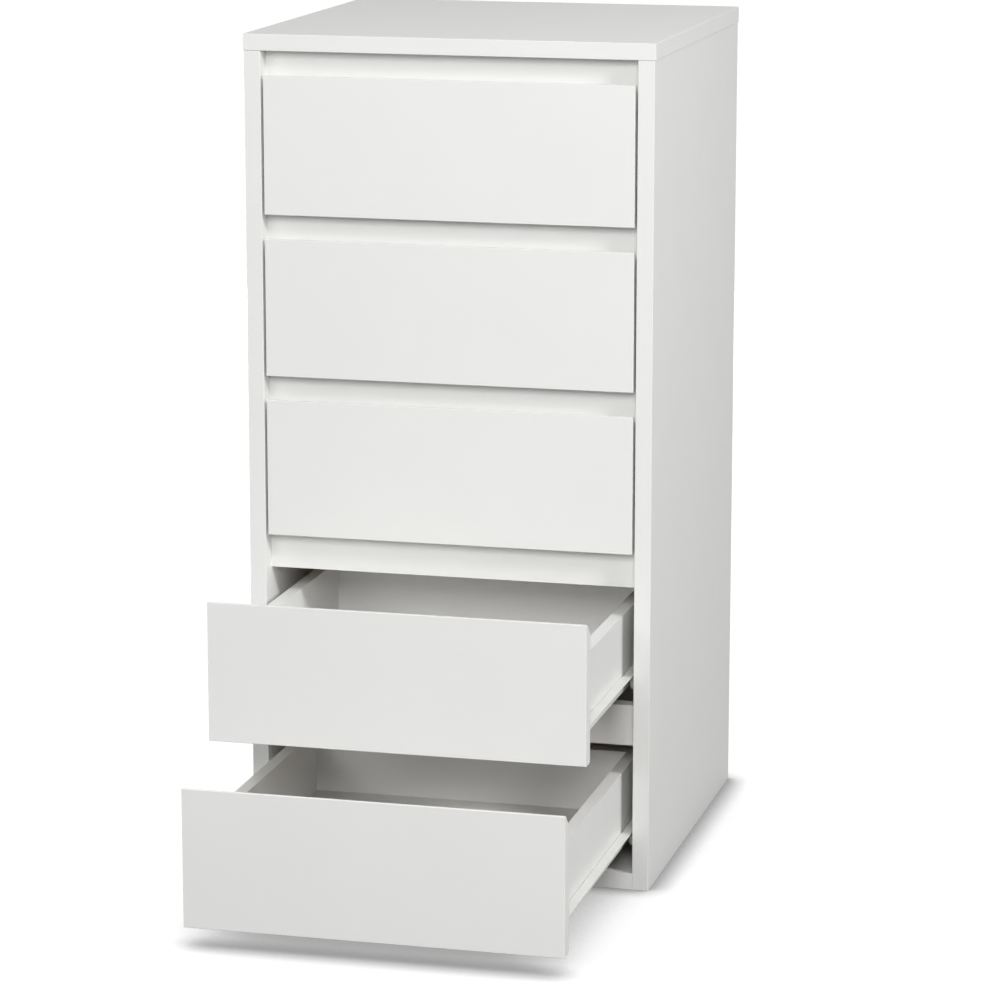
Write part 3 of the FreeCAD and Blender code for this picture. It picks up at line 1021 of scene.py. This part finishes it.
# %% Fixings of each drawer
for number in drawer_numbers:
    drawer = "drawer_%d" % number
    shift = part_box(drawer + "_fixings")[0] - fixing_low
    own_set = copy_of(fixings, drawer + "_screws_and_cams", shift)
    settle(own_set, drawer, zinc, "zinc_fittings", drawer + "_fixings")
discard(fixings)

# %% [markdown]
# ## Floor and background
#
# The chest stands in a white studio, where floor and wall run into one white. A floor
# that is white because it is brightly lit would throw too much light up on the chest.
# So what the camera sees is made white by a little glow that only camera, glossy and
# transmitted rays meet, while the floor that lights the chest stays grey. Near the
# chest the floor still takes its shadow; far from it the glow alone makes it white.
# Where the chest stands close beside or above the floor, an Ambient Occlusion node dims
# the glow, so that the contact shadow stays as dark as on a plain white floor.

# %% The rays that show a surface
def seen_rays(tree):
    """1 for the rays that show a surface, straight or in gloss or glass, and 0 for the rest."""
    rays = add_node(tree, "ShaderNodeLightPath").outputs
    shown = reckon(tree, "MAXIMUM", rays["Is Camera Ray"], rays["Is Glossy Ray"])
    return reckon(tree, "MAXIMUM", shown, rays["Is Transmission Ray"])


# %% Levels of the floor
floor_grey = (0.16, 0.16, 0.16)
seen_grey = (0.18, 0.18, 0.18)
near_glow = 0.94
contact_glow = 0.18
contact_reach = 0.028
contact_band = (0.5, 1.0)
under_share = 0.35
under_reach = 0.16
under_band = (0.15, 0.6)
shadow_near = 1.0
shadow_far = 3.0
print("the floor takes shadow up to", shadow_far, "m from the chest")


# %% Glow of the floor
def shelter(tree, reach, samples, *bands):
    """How open the floor is to things within a reach, mapped from one band to another."""
    around = add_node(tree, "ShaderNodeAmbientOcclusion", [("Distance", reach)], samples=samples)
    return stretch(tree, around.outputs["AO"], *bands)


def floor_glow(tree):
    """Less beside the chest and under it, and plain white far away."""
    contact = shelter(tree, contact_reach, 6, *contact_band, contact_glow, near_glow)
    covered = shelter(tree, under_reach, 4, *under_band, under_share, 1.0)
    distance = add_node(tree, "ShaderNodeVectorMath", [(0, place_on(tree))], operation="LENGTH")
    away = stretch(tree, distance.outputs["Value"], shadow_near, shadow_far)
    glow = add_node(tree, "ShaderNodeMix", data_type="FLOAT")
    tree.links.new(away, glow.inputs["Factor"])
    tree.links.new(reckon(tree, "MULTIPLY", contact, covered), glow.inputs[2])
    glow.inputs[3].default_value = 1.0
    return glow.outputs[0]


# %% The floor
floor_finish, tree, shader = new_finish("studio_floor", floor_grey, 0.7)
seen = seen_rays(tree)
glow_seen = reckon(tree, "MULTIPLY", floor_glow(tree), seen)
tree.links.new(blend_colours(tree, seen, floor_grey, seen_grey), shader.inputs["Base Color"])
tree.links.new(glow_seen, shader.inputs["Emission Strength"])
shader.inputs["Emission Color"].default_value = (1, 1, 1, 1)
shader.inputs["Specular IOR Level"].default_value = 0.0

floor_size = 60.0
bpy.ops.mesh.primitive_plane_add(size=floor_size, location=(0.0, 0.0, 0.0))
floor = bpy.context.object
floor.name = "studio_floor"
floor.data.materials.append(floor_finish)
floor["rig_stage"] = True
print("floor:", floor_size, "m square")

# %% The world
world_level = 0.20
world = bpy.data.worlds.new("studio")
bpy.context.scene.world = world
world.use_nodes = True
tree = world.node_tree
background = tree.nodes["Background"]
background.inputs["Color"].default_value = (1, 1, 1, 1)
level = stretch(tree, seen_rays(tree), 0.0, 1.0, world_level, 1.0)
tree.links.new(level, background.inputs["Strength"])
print("the world lights the chest at", world_level)

# %% [markdown]
# ## Lamps
#
# White board shows its shape only by small steps of grey, so each lamp has one job. The
# key lights the drawer fronts, the side lamp keeps the right-hand panel a step darker,
# and the fill opens the shadows in the drawers. The lamp overhead lifts the top. Two
# more stand low behind and to the left, below the top board, for whoever walks round
# the chest. Sun lamps would be simpler, but their shadows have hard edges, and the soft
# boxes of a studio are area lamps.

# %% A soft box
def lamp(name, place, target, width, height, watts):
    """A soft box: an area lamp at a place, turned to a target."""
    data = bpy.data.lights.new(name, "AREA")
    data.shape = "RECTANGLE"
    data.size = width
    data.size_y = height
    data.energy = watts
    box = bpy.data.objects.new(name, data)
    box.location = place
    aim = Vector(target) - Vector(place)
    box.rotation_euler = aim.to_track_quat("-Z", "Y").to_euler()
    bpy.context.scene.collection.objects.link(box)
    return box


# %% Six lamps
fronts_middle = (0.0, -0.2, 0.45)
top_middle = (0.0, 0.0, 0.8)
body_middle = (0.0, 0.0, 0.42)
lamp("key", (0.9, -3.6, 2.0), fronts_middle, 1.2, 1.2, 60.0)
lamp("side", (2.8, -1.40, 2.0), fronts_middle, 0.7, 0.7, 63.0)
lamp("fill", (-1.4, -3.4, 1.7), fronts_middle, 1.6, 1.6, 31.0)
lamp("overhead", (0.0, -0.4, 3.0), top_middle, 1.4, 1.4, 6.2)
lamp("rear", (-0.6, 3.4, 0.42), body_middle, 1.8, 0.75, 48.0)
lamp("left", (-3.2, 0.4, 0.42), body_middle, 1.8, 0.75, 40.0)

# %% [markdown]
# ## Last steps
#
# The Standard view shows a colour as it is written, which suits a white chest in a white
# room; a film-like view would grey it. The sizes of the dressed chest are then taken
# once more.

# %% View, sizes and the end
bpy.context.scene.view_settings.view_transform = "Standard"

low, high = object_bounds()
